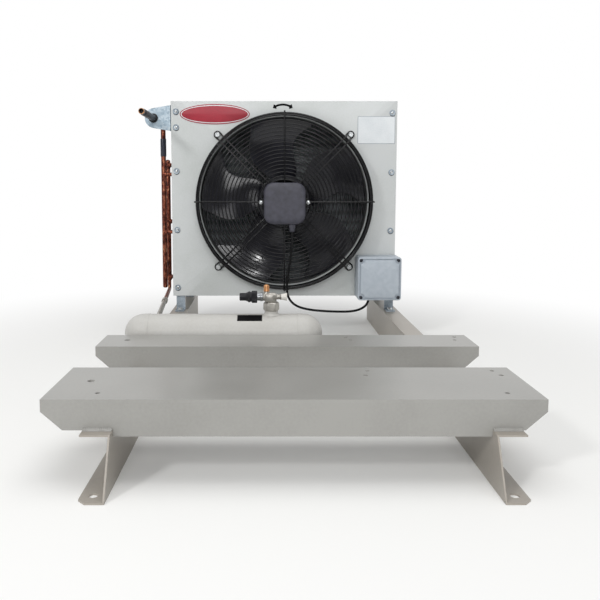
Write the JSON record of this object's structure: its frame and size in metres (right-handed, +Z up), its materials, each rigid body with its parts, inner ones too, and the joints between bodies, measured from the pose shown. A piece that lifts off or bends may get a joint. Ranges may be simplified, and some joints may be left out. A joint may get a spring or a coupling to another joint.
{
  "type": "refrigeration condenser",
  "caption": "air-cooled refrigeration condenser: finned coil casing with a guarded axial fan on a compressor base frame, with liquid receiver, shut-off valve and junction box",
  "frame": {"origin": "on the floor, under the centre of the whole unit's bounding box", "axes": "X to the right as seen from the fan side, Y from the front feet towards the coil, Z up; air is blown towards -Y"},
  "size_m": [0.8089, 1.35, 0.725],
  "materials": {
    "frame_paint": "semi-gloss grey-beige paint",
    "casing_paint": "semi-gloss grey-beige paint",
    "galvanised": "spangled zinc",
    "fins": "mill finish",
    "copper": "aged copper",
    "bright_copper": "bright copper",
    "sleeve_black": "blue-black lacquer",
    "black_rubber": "matt",
    "guard_black": "gloss black powder coat",
    "bolt_zinc": "bright zinc",
    "cover_black": "finely grained",
    "rotor_black": "semi-gloss",
    "blade_black": "gloss black",
    "steel": "machined",
    "cable_black": "satin",
    "box_grey": "satin light grey",
    "terminal": "matt",
    "receiver_paint": "semi-gloss grey-beige paint",
    "nickel": "dull nickel",
    "cap_black": "ribbed black",
    "plug_white": "matt"
  },
  "bodies": {
    "chassis": {"rail_left": "frame_paint", "rail_right": "frame_paint", "front_beam": "frame_paint", "rear_beam": "frame_paint", "beam_welds": "frame_paint", "receiver_bracket": "frame_paint", "front_panel": "casing_paint", "casing_top": "casing_paint", "casing_bottom": "casing_paint", "side_panel_left": "casing_paint", "side_panel_right": "casing_paint", "casing_feet": "galvanised", "foot_bolts": "bolt_zinc", "panel_screws": "bolt_zinc", "fin_pack": "fins", "end_plate_left": "galvanised", "end_plate_right": "galvanised", "return_bends_left": "copper", "return_bends_right": "copper", "gas_header": "copper", "liquid_header": "copper", "gas_sleeve": "sleeve_black", "gas_inlet_pipe": "copper", "inlet_tab": "galvanised", "tab_grommet": "black_rubber", "guard_front_rings": "guard_black", "guard_side_rings": "guard_black", "guard_spokes": "guard_black", "guard_hub_plate": "guard_black", "guard_screws": "bolt_zinc", "motor_stator": "rotor_black", "motor_bearings": "steel", "motor_cover": "cover_black", "cover_strap": "guard_black", "motor_gland": "cover_black", "fan_cable": "cable_black", "cable_tie": "cable_black", "junction_box": "box_grey", "junction_box_lid": "box_grey", "junction_box_screws": "box_grey", "junction_box_grommet": "black_rubber", "terminal_block": "terminal", "receiver_shell": "receiver_paint", "receiver_heads": "receiver_paint", "receiver_saddles": "receiver_paint", "receiver_spud": "receiver_paint", "liquid_line": "copper", "liquid_coupling": "steel", "rotalock_nut": "nickel", "valve_body": "nickel", "valve_packing_nut": "nickel", "valve_port_plug": "plug_white", "valve_stub": "bright_copper"},
    "fan": {"rotor_can": "rotor_black", "fan_blades": "blade_black", "motor_shaft": "steel"},
    "stem": {"valve_stem": "nickel"},
    "cap": {"valve_cap": "cap_black"}
  },
  "joints": [
    {"name": "fan_spin", "type": "hinge", "parent": "chassis", "child": "fan", "pos_m": [0.015, 0.392, 0.425], "axis": [0, 1, 0], "continuous": true},
    {"name": "valve_stem_turn", "type": "hinge", "parent": "chassis", "child": "stem", "pos_m": [-0.027, -0.12, 0.218], "axis": [-1, 0, 0], "range_deg": [0, 2340]},
    {"name": "valve_cap_off", "type": "slide", "parent": "chassis", "child": "cap", "axis": [-1, 0, 0], "range_m": [0, 0.045]}
  ]
}
